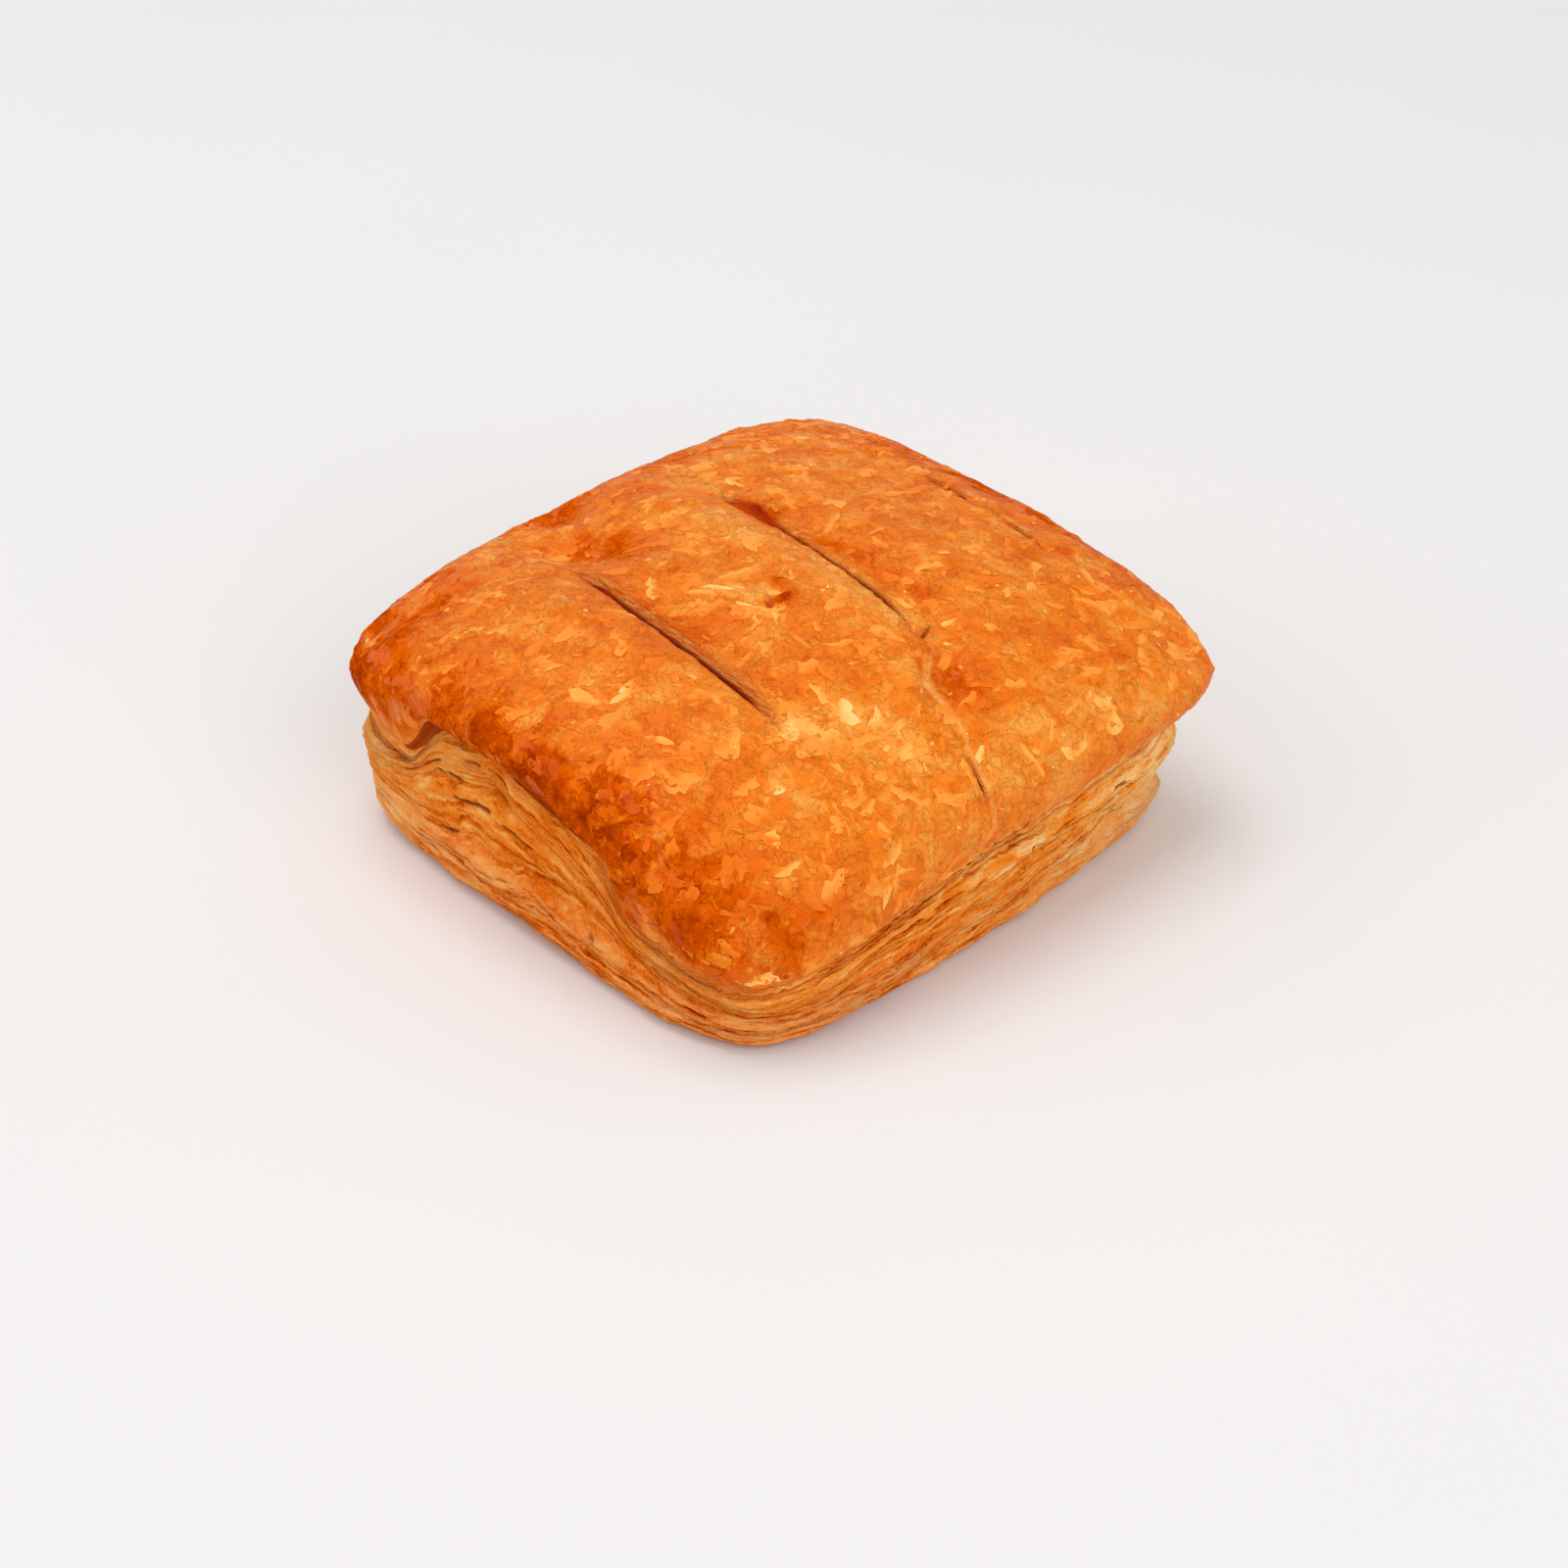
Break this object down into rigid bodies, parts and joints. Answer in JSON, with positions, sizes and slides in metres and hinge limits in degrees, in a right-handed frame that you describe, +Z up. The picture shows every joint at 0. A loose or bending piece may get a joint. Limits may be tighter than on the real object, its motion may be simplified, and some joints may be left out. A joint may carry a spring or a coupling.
{
  "type": "puff pastry",
  "caption": "Square risen puff pastry with slits cut through its browned crust and flaky layers round its sides.",
  "frame": {"origin": "middle of the pastry's outline, on the surface it rests on", "axes": "+Z up through the crown of the crust, +X along the slits from the left corner to the front corner, +Y across the slits from the front corner to the right corner"},
  "size_m": [0.0938, 0.099, 0.0414],
  "materials": {
    "baked_crust": "satin egg-washed crust, golden orange brown, with paler matte flaky layers at the sides"
  },
  "bodies": {
    "root": {"pastry": "baked_crust"}
  },
  "joints": []
}
